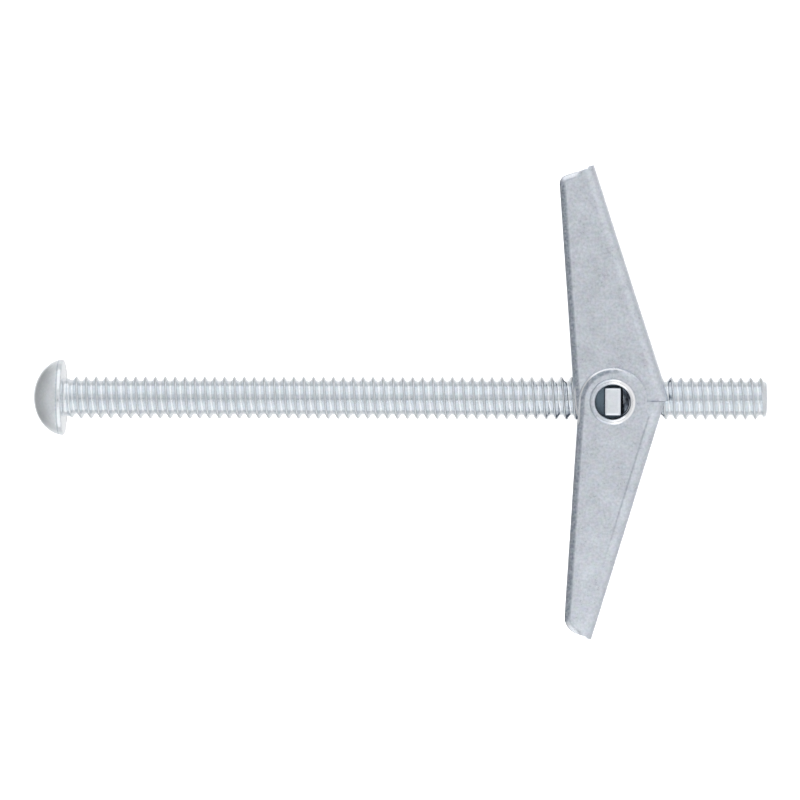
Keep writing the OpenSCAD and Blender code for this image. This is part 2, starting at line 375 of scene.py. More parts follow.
def drawn_wire():
    """Plain drawn spring wire: fine die lines along it, a little darker than the plate."""
    material, t, shader = new_material("drawn wire")
    along = t.node("ShaderNodeAttribute", attribute_name="along").outputs["Fac"]
    around = t.node("ShaderNodeAttribute", attribute_name="around").outputs["Vector"]
    stretched = t.node("ShaderNodeCombineXYZ", {"Z": t.calc("MULTIPLY", along, 0.04)})
    place = t.node("ShaderNodeVectorMath", {0: around, 1: stretched.outputs[0]}, operation="ADD")
    lines = t.node("ShaderNodeTexNoise", {
        "Vector": place.outputs[0], "Scale": 9 / MM, "Detail": 2.0, "Roughness": 0.6})
    tone = t.node("ShaderNodeMapRange", {
        "Value": lines.outputs["Fac"], "From Min": 0.3, "From Max": 0.7})
    colour = t.mixed(tone.outputs[0], (0.50, 0.52, 0.56, 1), (0.66, 0.68, 0.71, 1))
    rough = t.calc("MULTIPLY_ADD", tone.outputs[0], 0.14, 0.22)
    bump = t.node("ShaderNodeBump", {"Height": tone.outputs[0], "Strength": 0.25})
    bump.inputs["Distance"].default_value = 0.01 * MM
    t.feed(shader.inputs["Base Color"], colour)
    t.feed(shader.inputs["Roughness"], rough)
    t.feed(shader.inputs["Normal"], bump.outputs["Normal"])
    return material


def crest_mask(t):
    """1 on the crests of the screw's thread, 0 in its grooves and on the head."""
    place = t.node("ShaderNodeSeparateXYZ", {"Vector": t.object_place()}).outputs
    from_axis = t.calc("SQRT", t.calc("ADD", t.calc("POWER", place["Y"], 2.0),
                                      t.calc("POWER", place["Z"], 2.0)))
    crest = t.node("ShaderNodeMapRange", {
        "Value": from_axis, "From Min": CREST_RADIUS - 0.2 * MM,
        "From Max": CREST_RADIUS - 0.02 * MM}, interpolation_type="SMOOTHSTEP").outputs[0]
    return t.calc("MULTIPLY", crest, t.calc("GREATER_THAN", place["X"], NECK_FILLET))


def bend_line(t):
    """1 on a darker line where the outer wing's bend starts, 0 elsewhere."""
    place = t.node("ShaderNodeSeparateXYZ", {"Vector": t.object_place()}).outputs
    distance, lean = OUTER_WEB
    off = t.calc("MULTIPLY", t.calc("SUBTRACT", place["X"], HINGE_X), math.cos(lean))
    across = t.calc("SUBTRACT", off, t.calc("MULTIPLY", place["Y"], math.sin(lean)))
    away = t.calc("ABSOLUTE", t.calc("SUBTRACT", across, distance - BEND_RADIUS - BEND_LINE))
    line = t.node("ShaderNodeMapRange", {
        "Value": away, "From Min": BEND_LINE, "From Max": 0.2 * BEND_LINE}).outputs[0]
    runs = t.node("ShaderNodeMapRange", {
        "Value": place["Y"], "From Min": -LINE_ENDS, "From Max": -LINE_FADES}).outputs[0]
    starts = t.calc("LESS_THAN", place["Y"], -LINE_STARTS)
    return t.calc("MULTIPLY", t.calc("MULTIPLY", line, runs), starts)


def plated(name, group, colour, roughness, mottle_size, mottle, tint, relief,
           pressed=False, bent=False, threaded=False):
    """A zinc-plated metal with that group's mottle. A pressed part gets painted shade along its
    rolled edges and where it is hidden, and painted highlights on its rims; a bent one has a
    darker line along its bend; a thread is duller along its crests."""
    material, t, shader = new_material(name)
    skin = t.node("ShaderNodeGroup", node_tree=group)
    for socket, value in {
        "Colour": (*colour, 1), "Mottle size": mottle_size, "Mottle depth": mottle,
        "Tint depth": tint, "Roughness": roughness, "Relief": relief,
    }.items():
        skin.inputs[socket].default_value = value
    # A pressed part's masks: painted shade along rolled edges and in recesses, and painted
    # highlights
    if pressed:
        for socket, attribute in (("Edge", "edge"), ("Recess", "recess"), ("Highlight", "highlight")):
            mask = t.node("ShaderNodeAttribute", attribute_name=attribute)
            t.feed(skin.inputs[socket], mask.outputs["Fac"])
    if bent:
        t.feed(skin.inputs["Line"], bend_line(t))
    if threaded:
        t.feed(skin.inputs["Dull"], crest_mask(t))
    bump = t.node("ShaderNodeBump", {"Height": skin.outputs["Height"], "Strength": 0.5})
    bump.inputs["Distance"].default_value = 0.05 * MM
    t.feed(shader.inputs["Base Color"], skin.outputs["Colour"])
    t.feed(shader.inputs["Roughness"], skin.outputs["Roughness"])
    t.feed(shader.inputs["Normal"], bump.outputs["Normal"])
    return material


# ---------- screw ----------


def thread_section():
    """One thread from crest to crest: (share of the pitch, share of the depth) at each point,
    with a slightly rounded crest and a rounded root."""
    depth = CREST_RADIUS - ROOT_RADIUS
    crest = CREST_WIDTH / 2 / PITCH
    flank = depth / math.tan(FLANK_SLOPE) / PITCH
    foot = crest + flank
    half = [
        (0.0, 1.0),
        (crest, 0.96),
        (crest + 0.22 * flank, 0.79),
        (crest + 0.50 * flank, 0.50),
        (crest + 0.78 * flank, 0.24),
        (foot + 0.16 * (0.5 - foot), 0.09),
        (foot + 0.55 * (0.5 - foot), 0.02),
        (0.5, 0.0),
    ]
    return half + [(1 - place, height) for place, height in half[-2::-1]]


def rolled_thread_tree():
    """Geometry Nodes: a sheet of rings, sheared by one pitch per turn and pushed in and out by
    the thread's section, from the neck's fillet to the chamfered tip."""
    tree = bpy.data.node_groups.new("rolled thread", "GeometryNodeTree")
    add_sockets(tree, "INPUT", {
        "Geometry": ("NodeSocketGeometry", None),
        **{length: ("NodeSocketFloat", 0.0) for length in (
            "Start", "End", "First crest", "Pitch", "Crest radius", "Root radius",
            "Neck radius", "Run-out start", "Run-out length", "Tip chamfer")},
        "Turns": ("NodeSocketInt", 1),
        "Sides": ("NodeSocketInt", 3),
        "Material": ("NodeSocketMaterial", None),
    })
    add_sockets(tree, "OUTPUT", {"Geometry": ("NodeSocketGeometry", None)})
    t = Tree(tree)
    given = t.node("NodeGroupInput").outputs
    rows = t.calc("MULTIPLY", given["Turns"], SECTION_POINTS)
    grid = t.node("GeometryNodeMeshGrid", {
        "Size X": rows, "Size Y": given["Sides"],
        "Vertices X": t.calc("ADD", rows, 1.0), "Vertices Y": t.calc("ADD", given["Sides"], 1.0)})
    spot = t.node("ShaderNodeSeparateXYZ", {
        "Vector": t.node("GeometryNodeInputPosition").outputs[0]})
    row = t.calc("ROUND", t.calc("ADD", spot.outputs["X"], t.calc("DIVIDE", rows, 2.0)))
    side = t.calc("ROUND", t.calc("ADD", spot.outputs["Y"],
                                  t.calc("DIVIDE", given["Sides"], 2.0)))

    turn = t.calc("FLOOR", t.calc("DIVIDE", t.calc("ADD", row, 0.5), SECTION_POINTS))
    share = t.calc("DIVIDE", t.calc("SUBTRACT", row, t.calc("MULTIPLY", turn, SECTION_POINTS)),
                   SECTION_POINTS)
    section = thread_section()
    steps = [i / SECTION_POINTS for i in range(SECTION_POINTS + 1)]
    place = t.node("ShaderNodeFloatCurve", {"Value": share})
    shape_curve(place, [(s, p[0]) for s, p in zip(steps, section)])
    height = t.node("ShaderNodeFloatCurve", {"Value": share})
    shape_curve(height, [(s, p[1]) for s, p in zip(steps, section)])

    round_share = t.calc("DIVIDE", side, given["Sides"])
    pitches = t.calc("ADD", t.calc("ADD", turn, place.outputs[0]), round_share)
    along = t.calc("ADD", given["First crest"],
                   t.calc("MULTIPLY", t.calc("SUBTRACT", pitches, 3.0), given["Pitch"]))
    x = t.calc("MINIMUM", t.calc("MAXIMUM", along, given["Start"]), given["End"])

    depth = t.calc("SUBTRACT", given["Crest radius"], given["Root radius"])
    cut = t.calc("MULTIPLY_ADD", height.outputs[0], depth, given["Root radius"])
    formed = t.node("ShaderNodeMapRange", {
        "Value": x, "From Min": given["Run-out start"],
        "From Max": t.calc("ADD", given["Run-out start"], given["Run-out length"])},
        interpolation_type="SMOOTHSTEP").outputs[0]
    radius = t.calc("MULTIPLY_ADD", formed, t.calc("SUBTRACT", cut, given["Neck radius"]),
                    given["Neck radius"])
    slope = t.calc("DIVIDE", depth, given["Tip chamfer"])
    cone = t.calc("MULTIPLY_ADD", t.calc("SUBTRACT", given["End"], x), slope,
                  given["Root radius"])
    radius = t.calc("MINIMUM", radius, cone)

    angle = t.calc("MULTIPLY", round_share, 2 * math.pi)
    point = t.node("ShaderNodeCombineXYZ", {
        "X": x,
        "Y": t.calc("MULTIPLY", radius, t.calc("COSINE", angle)),
        "Z": t.calc("MULTIPLY", radius, t.calc("SINE", angle))})
    placed = t.node("GeometryNodeSetPosition", {
        "Geometry": grid.outputs["Mesh"], "Position": point.outputs[0]})
    closed = t.node("GeometryNodeMergeByDistance", {
        "Geometry": placed.outputs[0], "Distance": 0.002 * MM})
    whole = t.node("GeometryNodeRealizeInstances", {"Geometry": closed.outputs[0]})
    coated = t.node("GeometryNodeSetMaterial", {
        "Geometry": whole.outputs[0], "Material": given["Material"]})
    t.feed(t.node("NodeGroupOutput").inputs["Geometry"], coated.outputs[0])
    return tree


def rolled_thread(material):
    """The screw's thread as a plain mesh, open at both ends."""
    carrier = link(bpy.data.objects.new("thread", bpy.data.meshes.new("thread")))
    modifier = carrier.modifiers.new("rolled thread", "NODES")
    modifier.node_group = rolled_thread_tree()
    set_inputs(modifier, {
        "Start": NECK_FILLET, "End": SCREW_TIP, "First crest": FIRST_CREST, "Pitch": PITCH,
        "Crest radius": CREST_RADIUS, "Root radius": ROOT_RADIUS, "Neck radius": NECK_RADIUS,
        "Run-out start": RUNOUT_START, "Run-out length": RUNOUT_LENGTH,
        "Tip chamfer": TIP_CHAMFER, "Turns": math.ceil(SCREW_TIP / PITCH) + 4,
        "Sides": TURN_SIDES, "Material": material,
    })
    return finished(carrier)


def arc(x, radius, size, start, end):
    """(place along the screw, radius) every 15 degrees round an arc about that centre."""
    step = 15 if end > start else -15
    angles = [math.radians(degrees) for degrees in range(start, end + step, step)]
    return [(x - size * math.sin(a), radius + size * math.cos(a)) for a in angles]


def head_profile():
    """(place along the screw, radius) from the dome's top round the rim to the neck."""
    dome = DOME_SINK - HEAD_TOP
    base = math.asin((RIM_HEIGHT + DOME_SINK) / dome)
    dome_radius = (HEAD_RADIUS - RIM_STEP) / math.cos(base)
    profile = []
    for i in range(1, DOME_RINGS + 1):
        a = math.pi / 2 - (math.pi / 2 - base) * i / DOME_RINGS
        profile.append((DOME_SINK - dome * math.sin(a), dome_radius * math.cos(a)))
    land = HEAD_RADIUS - RIM_ROUND
    return (profile + arc(RIM_ROUND - RIM_HEIGHT, land, RIM_ROUND, 60, 0)
            + arc(-RIM_ROUND, land, RIM_ROUND, 0, -90)
            + arc(NECK_FILLET, NECK_RADIUS + NECK_FILLET, NECK_FILLET, 90, 180))


def ring(bm, x, radius):
    """A ring of vertices about the screw's axis, starting on the +Y side as the thread does."""
    turns = (2 * math.pi * i / TURN_SIDES for i in range(TURN_SIDES))
    return [bm.verts.new((x, radius * math.cos(a), radius * math.sin(a))) for a in turns]


def slotted_head():
    """The domed head down to its neck, with the driver's slot cut across it."""
    bm = bmesh.new()
    rings = [ring(bm, x, radius) for x, radius in head_profile()]
    top = bm.verts.new((HEAD_TOP, 0, 0))
    for i in range(TURN_SIDES):
        j = (i + 1) % TURN_SIDES
        bm.faces.new((top, rings[0][i], rings[0][j]))
        for near, far in zip(rings, rings[1:]):
            bm.faces.new((near[i], far[i], far[j], near[j]))
    bm.faces.new(rings[-1])
    bmesh.ops.recalc_face_normals(bm, faces=bm.faces)
    head = mesh_piece("head", bm)

    cutter = bmesh.new()
    bmesh.ops.create_cube(cutter, size=1, matrix=Matrix.Translation((HEAD_TOP, 0, 0))
                          @ Matrix.Diagonal((2 * SLOT_DEPTH, 4 * HEAD_RADIUS, SLOT_WIDTH, 1)))
    slot = mesh_piece("slot", cutter)
    cut = head.modifiers.new("slot", "BOOLEAN")
    cut.operation = "DIFFERENCE"
    cut.solver = "EXACT"
    cut.object = slot
    finished(head)
    bpy.data.objects.remove(slot)
    return head


def break_slot_edges(bm):
    """Breaks the long edges where the slot meets the dome."""
    wall = SLOT_WIDTH / 2

    def in_slot(face):
        spot = face.calc_center_median()
        return abs(face.normal.z) > 0.9 and abs(abs(spot.z) - wall) < SLOT_BREAK

    edges = [e for e in bm.edges if e.is_manifold
             and len([f for f in e.link_faces if in_slot(f)]) == 1
             and e.calc_face_angle() > math.radians(30)
             and max(v.co.x for v in e.verts) < HEAD_TOP + SLOT_DEPTH - SLOT_BREAK]
    bmesh.ops.bevel(bm, geom=edges, offset=SLOT_BREAK, segments=2, profile=0.5,
                    affect="EDGES", clamp_overlap=True)


def make_screw(material):
    """Head and thread in one closed piece that stands for the screw's solid."""
    thread = rolled_thread(material)
    head = slotted_head()
    bm = bmesh.new()
    bm.from_mesh(head.data)
    bmesh.ops.remove_doubles(bm, verts=bm.verts, dist=0.005 * MM)
    neck_end = [f for f in bm.faces if min(v.co.x for v in f.verts) > NECK_FILLET - TINY]
    bmesh.ops.delete(bm, geom=neck_end, context="FACES")
    break_slot_edges(bm)
    bm.from_mesh(thread.data)
    bmesh.ops.remove_doubles(bm, verts=bm.verts, dist=0.004 * MM)
    open_edges = [e for e in bm.edges if e.is_boundary]
    bmesh.ops.holes_fill(bm, edges=open_edges, sides=0)
    bmesh.ops.recalc_face_normals(bm, faces=bm.faces)
    for obj in (head, thread):
        mesh = obj.data
        bpy.data.objects.remove(obj)
        bpy.data.meshes.remove(mesh)
    screw = shade(mesh_piece("threaded_screw", bm), math.radians(50))
    screw.data.materials.append(material)
    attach(screw, "screw")
    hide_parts("screw")
    return screw


# ---------- wings and nut ----------


def cleaned_copy(node):
    """A copy of a solid's mesh as flat faces and clean edges."""
    bm = bmesh.new()
    bm.from_mesh(frame["nodes"][node].data)
    bmesh.ops.remove_doubles(bm, verts=bm.verts, dist=0.0005 * MM)
    bmesh.ops.dissolve_limit(bm, angle_limit=math.radians(0.5), verts=bm.verts,
                             edges=bm.edges)
    return bm


def sharp_edges(bm):
    """The edges where two faces meet sharply."""
    return [e for e in bm.edges if e.is_manifold and e.calc_face_angle() > math.radians(35)]


def round_edges(obj, width, segments):
    """Rounds the marked edges, each by its own share of width."""
    bevel = obj.modifiers.new("rounded edges", "BEVEL")
    bevel.limit_method = "WEIGHT"
    bevel.width = width
    bevel.segments = segments
    bevel.miter_outer = "MITER_ARC"
    bevel.loop_slide = True
    return finished(obj)


def keep_flats(obj):
    """Smooth shading that keeps the flat faces flat up to their rounded edges."""
    shade(obj, math.radians(40))
    weigh = obj.modifiers.new("flats", "WEIGHTED_NORMAL")
    weigh.keep_sharp = True
    weigh.weight = 90
    return finished(obj)


def smooth_step(share):
    """0 up to 0, 1 from 1, and a soft slope between them."""
    share = min(max(share, 0.0), 1.0)
    return share * share * (3 - 2 * share)


def distance_to(spot, edges):
    """Distance in the sheet's plane from a point to the nearest of these edges."""
    best = 1.0
    for near, along, length in edges:
        share = min(max((spot - near).dot(along) / length ** 2, 0.0), 1.0)
        best = min(best, (spot - near - along * share).length)
    return best


def inside(spot, outline):
    """Whether a point of the sheet's plane lies within an outline, holes left out."""
    crossed = False
    for near, far in outline:
        if (near.y > spot.y) != (far.y > spot.y):
            share = (spot.y - near.y) / (far.y - near.y)
            if spot.x < near.x + share * (far.x - near.x):
                crossed = not crossed
    return crossed


def within_fences(points, triangles, fences, outline):
    """The triangles inside an outline: those reached from the largest one inside it without
    crossing one of its edges."""
    beside = {}
    for i, (a, b, c) in enumerate(triangles):
        for edge in (frozenset((a, b)), frozenset((b, c)), frozenset((c, a))):
            beside.setdefault(edge, []).append(i)

    def size(i):
        a, b, c = (points[corner] for corner in triangles[i])
        return abs((b - a).cross(c - a)) if inside((a + b + c) / 3, outline) else 0.0

    reached = {max(range(len(triangles)), key=size)}
    edge_of_reach = list(reached)
    while edge_of_reach:
        a, b, c = triangles[edge_of_reach.pop()]
        for edge in (frozenset((a, b)), frozenset((b, c)), frozenset((c, a))):
            if edge not in fences:
                fresh = [i for i in beside[edge] if i not in reached]
                reached.update(fresh)
                edge_of_reach.extend(fresh)
    return [triangles[i] for i in sorted(reached)]


def region_edges(region):
    """The edges round these faces."""
    edges = dict.fromkeys(e for f in region for e in f.edges)
    return [e for e in edges if len([f for f in e.link_faces if f in region]) == 1]


def rows_inside(free, rolled, outline):
    """Rows of points that follow the free edges inwards, closest together at the edge."""
    rows = [EDGE_ROLL * (1 - math.sin(math.pi / 2 * (1 - i / ROLL_RINGS)))
            for i in range(1, ROLL_RINGS + 1)]
    inwards = {}
    for near, far in free:
        along = (far - near).normalized()
        across = Vector((-along.y, along.x))
        if not inside((near + far) / 2 + across * TINY, outline):
            across = -across
        for end in (near, far):
            key = (round(end.x / MM, 3), round(end.y / MM, 3))
            spot, total = inwards.get(key, (end, Vector((0, 0))))
            inwards[key] = (spot, total + across)
    points = [(spot + total.normalized() * row, row)
              for spot, total in inwards.values() for row in rows]
    return [point for point, row in points
            if distance_to(point, rolled) > row * 0.97 and inside(point, outline)]


def roll_face(bm, region, can_roll, fade):
    """Rolls the free edges of one flat outer face over, as shearing does: rows of points
    follow its outline inwards, and sink towards it along a quarter of an ellipse."""
    height = region[0].verts[0].co.z
    for e in [e for e in region_edges(region) if can_roll(e)]:
        cuts = int(e.calc_length() / ROLL_SPACING)
        if cuts:
            bmesh.ops.subdivide_edges(bm, edges=[e], cuts=cuts)
    border = region_edges(region)
    rim = list(dict.fromkeys(v for e in border for v in e.verts))
    number = {v: i for i, v in enumerate(rim)}
    outline = [[v.co.to_2d() for v in e.verts] for e in border]
    free = [[v.co.to_2d() for v in e.verts] for e in border if can_roll(e)]
    rolled = [(near, far - near, (far - near).length) for near, far in free]

    spots = [v.co.to_2d() for v in rim] + rows_inside(free, rolled, outline)
    limits = [[number[v] for v in e.verts] for e in border]
    points, _, triangles, source, _, _ = delaunay_2d_cdt(spots, limits, [], 0, 0.001 * MM)
    corners = []
    now_at = {}
    for i, (point, given) in enumerate(zip(points, source)):
        now_at.update({spot: i for spot in given})
        if given and given[0] < len(rim):
            corners.append(rim[given[0]])
        else:
            corners.append(bm.verts.new((*point, height)))
    fences = {frozenset((now_at[a], now_at[b])) for a, b in limits}
    bmesh.ops.delete(bm, geom=region, context="FACES_ONLY")
    for triangle in within_fences(points, triangles, fences, outline):
        order = triangle if height > 0 else triangle[::-1]
        bm.faces.new([corners[i] for i in order])
    spare = [e for e in bm.edges if e.is_wire]
    bmesh.ops.delete(bm, geom=spare, context="EDGES")
    for corner in set(corners):
        share = distance_to(corner.co.to_2d(), rolled) / EDGE_ROLL
        if share < 1:
            sink = 1 - math.sqrt(max(1 - (1 - share) ** 2, 0.0))
            corner.co.z -= math.copysign(sink * ROLL_DEPTH * fade(corner.co), height)


def mark(obj, name, rule):
    """Keeps a number for each point of the mesh, for its finish."""
    layer = obj.data.attributes.new(name, "FLOAT", "POINT")
    for vertex, value in zip(obj.data.vertices, layer.data):
        value.value = rule(vertex.co)


class Channel:
    """Where things lie on a pressed wing: face is the height of its outer faces, side is 1 for
    the wing towards +Y and -1 for the other, and web is its web's distance and lean."""

    def __init__(self, face, side, web):
        self.face = face
        self.side = side
        self.lean = web[1]
        self.bend_starts = web[0] - BEND_RADIUS

    def across(self, spot):
        """How far a point lies from the folding axis towards the web, square to it."""
        return ((spot.x - HINGE_X) * math.cos(self.lean)
                + self.side * spot.y * math.sin(self.lean))

    def at_crease(self, spot):
        """Whether a point lies where this wing's web meets the other wing's."""
        return spot.x > HINGE_X + CREASE_STARTS and self.side * spot.y < CREASE_GAP

    def can_roll(self, edge):
        """Whether shearing rolled an edge: it made all but the lips, the bends, the crease."""
        ends = [v.co for v in edge.verts]
        lip = all(math.hypot(p.x - HINGE_X, p.y) < LIP_RADIUS + 0.1 * MM for p in ends)
        bend = all(self.across(p) > self.bend_starts - 0.05 * MM for p in ends)
        crease = all(self.at_crease(p) and self.side * p.y > -CREASE_GAP for p in ends)
        return not (lip or bend or crease)

    def fade(self, spot):
        """How deep the roll is there, as a share: it runs out at the bend and the crease."""
        towards_bend = smooth_step((self.bend_starts - self.across(spot)) / ROLL_FADE)
        towards_crease = smooth_step((CREASE_FADE - (spot.x - HINGE_X)) / ROLL_FADE)
        return towards_bend * towards_crease

    def below(self, spot):
        """How far down the rolled edge a point lies, from 0 on the face to 1."""
        return min(max((self.face - abs(spot.z)) / ROLL_DEPTH, 0.0), 1.0)

    def painted_edge_shade(self, spot):
        """How far into the painted shade band along a rolled edge a point lies, a dark reflection
        painted into the colour: the band is narrower round the ears, and near the tip only its
        inner line is left."""
        if self.across(spot) > self.bend_starts - EDGE_BREAK:
            return 0.0
        below = self.below(spot)
        if math.hypot(spot.x - HINGE_X, spot.y) < EAR_REACH:
            below *= EAR_BRIGHT
        towards_web = smooth_step((SHADE_REACH - (spot.x - HINGE_X)) / SHADE_FADE)
        towards_tip = smooth_step((SHADE_BAND_TO - self.side * spot.y) / TIP_FADE)
        if below < 0.05:
            towards_tip = max(towards_tip, 0.4)
        return min(below, 1.0) * towards_web * towards_tip

    def painted_recess_shade(self, spot):
        """Painted shade inside the hubs' bores."""
        from_axis = math.hypot(spot.x - HINGE_X, spot.y)
        bore = from_axis < BORE_RADIUS + 0.1 * MM and abs(spot.z) < HUB_TOP - 0.25 * MM
        return BORE_SHADE if bore else 0.0

    def painted_highlight(self, spot):
        """Painted highlights, with smoother plate: on the lips' side towards the tip, on the
        ears' rims towards the head, and on the tips' corners.
        """
        off = spot.x - HINGE_X
        from_axis = math.hypot(off, spot.y)
        if from_axis < LIP_RADIUS + 0.02 * MM:
            on_lip = abs(spot.z) > OUTER_FACE + 0.1 * MM
            return smooth_step((off / from_axis + 0.35) / 0.5) if on_lip else 0.0
        if self.across(spot) > self.bend_starts - EDGE_BREAK:
            return 0.0
        below = self.below(spot)
        if from_axis < EAR_REACH:
            on_rim = smooth_step((below - 0.2) / 0.2)
            return EAR_HIGHLIGHT * on_rim * smooth_step((1.6 * MM - off) / MM)
        past_shade_band = smooth_step((self.side * spot.y - SHADE_BAND_TO) / (0.4 * MM))
        return CORNER_HIGHLIGHT * smooth_step(below / 0.15) * past_shade_band


def fit_ends(bm, channel):
    """Narrows the gap at the crease, and slants the inner wing's end, so that its far flange
    is the shorter one."""
    along = Vector((-math.sin(channel.lean), math.cos(channel.lean), 0))
    for v in bm.verts:
        if channel.at_crease(v.co) and channel.side * v.co.y > 0:
            v.co.y -= channel.side * CREASE_CLOSED
        if v.co.y > TIP_STARTS:
            v.co -= along * TIP_SKEW * (1 - v.co.z / channel.face) / 2


def press_wing(node, name, channel, material):
    """A pressed wing: shearing has rolled its free edges over on the outside, wide and shallow,
    and its other edges are broken."""
    bm = cleaned_copy(node)
    fit_ends(bm, channel)
    for height in (channel.face, -channel.face):
        flat = [f for f in bm.faces if abs(f.normal.z) > 0.999
                and abs(f.calc_center_median().z - height) < TINY]
        roll_face(bm, flat, channel.can_roll, channel.fade)
    bm.normal_update()

    weight = bm.edges.layers.float.new("bevel_weight_edge")
    for e in sharp_edges(bm):
        e[weight] = 1.0
    wing = mesh_piece(name, bm)
    wing.data.materials.append(material)
    wing = keep_flats(round_edges(wing, EDGE_BREAK, 3))
    # Painted light in the wing's colour: painted shade along the rolled edges and in the bores,
    # painted highlights on the lips, the ears' rims and the tips' corners
    mark(wing, "edge", channel.painted_edge_shade)
    mark(wing, "recess", channel.painted_recess_shade)
    mark(wing, "highlight", channel.painted_highlight)
    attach(wing, node)
    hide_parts(node)
    return wing


def make_nut(material):
    """The nut: the ends of its tabs are crowned where the bar was sheared, and its other
    stamped corners are broken."""
    bm = cleaned_copy("nut")
    weight = bm.edges.layers.float.new("bevel_weight_edge")
    end = max(v.co.z for v in bm.verts)
    for e in sharp_edges(bm):
        on_end = all(abs(abs(v.co.z) - end) < TINY for v in e.verts)
        e[weight] = 1.0 if on_end else NUT_BREAK / TAB_CROWN
    nut = mesh_piece("tapped_nut", bm)
    nut.data.materials.append(material)
    nut = round_edges(nut, TAB_CROWN, 6)
    for v in nut.data.vertices:
        below = end - abs(v.co.z)
        if below < TAB_CROWN + TINY:
            v.co.z = math.copysign(end - below * CROWN_FLAT, v.co.z)
    nut = keep_flats(nut)

    # Painted shade on the nut: darker deeper in than the tabs' shown ends, and partly all over
    # between the hubs
    def painted_nut_shade(spot):
        under_tab = min(max((TAB_SHOWS - abs(spot.z)) / (0.5 * MM), 0.0), 1.0)
        return under_tab if abs(spot.z) > UNDER_BORE else NUT_SHADE

    mark(nut, "recess", painted_nut_shade)
    mark(nut, "edge", lambda spot: 0.0)
    mark(nut, "highlight", lambda spot: 0.0)
    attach(nut, "nut")
    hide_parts("nut")
    return nut


# ---------- spring ----------


def bent_wire_tree():
    """Geometry Nodes: a round wire along a path, its corners bent to a radius. It keeps where
    each point lies along and around the wire, for the marks that drawing leaves."""
    tree = bpy.data.node_groups.new("bent wire", "GeometryNodeTree")
    add_sockets(tree, "INPUT", {
        "Geometry": ("NodeSocketGeometry", None),
        "Wire diameter": ("NodeSocketFloat", 0.0),
        "Bend radius": ("NodeSocketFloat", 0.0),
        "Step": ("NodeSocketFloat", 0.001),
        "Sides": ("NodeSocketInt", 3),
        "Material": ("NodeSocketMaterial", None),
    })
    add_sockets(tree, "OUTPUT", {"Geometry": ("NodeSocketGeometry", None)})
    t = Tree(tree)
    given = t.node("NodeGroupInput").outputs
    path = t.node("GeometryNodeMeshToCurve", {"Mesh": given["Geometry"]})
    bent = t.node("GeometryNodeFilletCurve", {
        "Curve": path.outputs[0], "Radius": given["Bend radius"], "Count": 8}, mode="POLY")
    even = t.node("GeometryNodeResampleCurve", {
        "Curve": bent.outputs[0], "Length": given["Step"]}, mode="LENGTH")
    along = t.node("GeometryNodeStoreNamedAttribute", {
        "Geometry": even.outputs[0], "Name": "along",
        "Value": t.node("GeometryNodeSplineParameter").outputs["Length"]},
        data_type="FLOAT", domain="POINT")
    circle = t.node("GeometryNodeCurvePrimitiveCircle", {
        "Resolution": given["Sides"], "Radius": t.calc("DIVIDE", given["Wire diameter"], 2.0)})
    around = t.node("GeometryNodeStoreNamedAttribute", {
        "Geometry": circle.outputs[0], "Name": "around"},
        data_type="FLOAT_VECTOR", domain="POINT")
    t.feed(around.inputs[3], t.node("GeometryNodeInputPosition").outputs[0])
    round_wire = t.node("GeometryNodeCurveToMesh", {
        "Curve": along.outputs[0], "Profile Curve": around.outputs[0], "Fill Caps": True})
    whole = t.node("GeometryNodeRealizeInstances", {"Geometry": round_wire.outputs[0]})
    coated = t.node("GeometryNodeSetMaterial", {
        "Geometry": whole.outputs[0], "Material": given["Material"]})
    t.feed(t.node("NodeGroupOutput").inputs["Geometry"], coated.outputs[0])
    return tree


def web_touch(web, side):
    """Where the wire presses on the inside of a web, from the centre of the coil: off along the
    web by the leg's reach, towards that side."""
    distance, lean = web
    off = distance - SHEET - WIRE_GAP - WIRE / 2
    return (off * math.cos(lean) - LEG_REACH * math.sin(lean) + COIL_BACK,
            side * (off * math.sin(lean) + LEG_REACH * math.cos(lean)))


def leaves_coil(touch, side):
    """Angle round the coil at which a straight leg to that point leaves it."""
    turned = math.atan2(side * touch[1], touch[0])
    return side * (turned - math.acos(COIL_RADIUS / math.hypot(*touch)))


def coil_point(angle, z):
    """A point of the coil, at that angle round it and that height."""
    return (COIL_RADIUS * math.cos(angle), COIL_RADIUS * math.sin(angle), z)


def wire_piece(name, paths, tree, material):
    """One piece of the spring: a wire along each path, placed on the coil's centre."""
    bm = bmesh.new()
    for path in paths:
        spots = [bm.verts.new((x + HINGE_X - COIL_BACK, y, z)) for x, y, z in path]
        for near, far in zip(spots, spots[1:]):
            bm.edges.new((near, far))
    wire = mesh_piece(name, bm)
    modifier = wire.modifiers.new("bent wire", "NODES")
    modifier.node_group = tree
    set_inputs(modifier, {
        "Wire diameter": WIRE, "Bend radius": WIRE_BEND, "Step": WIRE_STEP,
        "Sides": WIRE_SIDES, "Material": material})
    return shade(finished(wire), math.radians(50))


def make_spring(material):
    """The double torsion spring: two coils round the nut's tabs, one bridge that presses on
    the inner wing's web, and a foot on each side that presses on the outer wing's web."""
    tree = bent_wire_tree()
    inner = web_touch(INNER_WEB, 1)
    outer = web_touch(OUTER_WEB, -1)
    start = leaves_coil(outer, -1)
    turn = 2 * math.pi + leaves_coil(inner, 1) - start
    steps = 48
    coils = []
    feet = []
    for side in (1, -1):
        rise = FAR_WIRE - NEAR_WIRE
        coils.append([coil_point(start + turn * i / steps, side * (NEAR_WIRE + rise * i / steps))
                      for i in range(steps + 1)])
        feet.append([coil_point(start, side * NEAR_WIRE), (*outer, side * NEAR_WIRE),
                     (*outer, side * (NEAR_WIRE - FOOT))])
    bridge = [coil_point(start + turn, FAR_WIRE), (*inner, FAR_WIRE),
              (*inner, -FAR_WIRE), coil_point(start + turn, -FAR_WIRE)]

    turns = wire_piece("spring_coils", coils, tree, material)
    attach(turns, "nut")
    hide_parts("spring")
    legs = {"inner": wire_piece("spring_bridge", [bridge], tree, material),
            "outer": wire_piece("spring_feet", feet, tree, material)}
    for side, wing in ((1, "inner"), (-1, "outer")):
        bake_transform(legs[wing])


# ---------- studio ----------


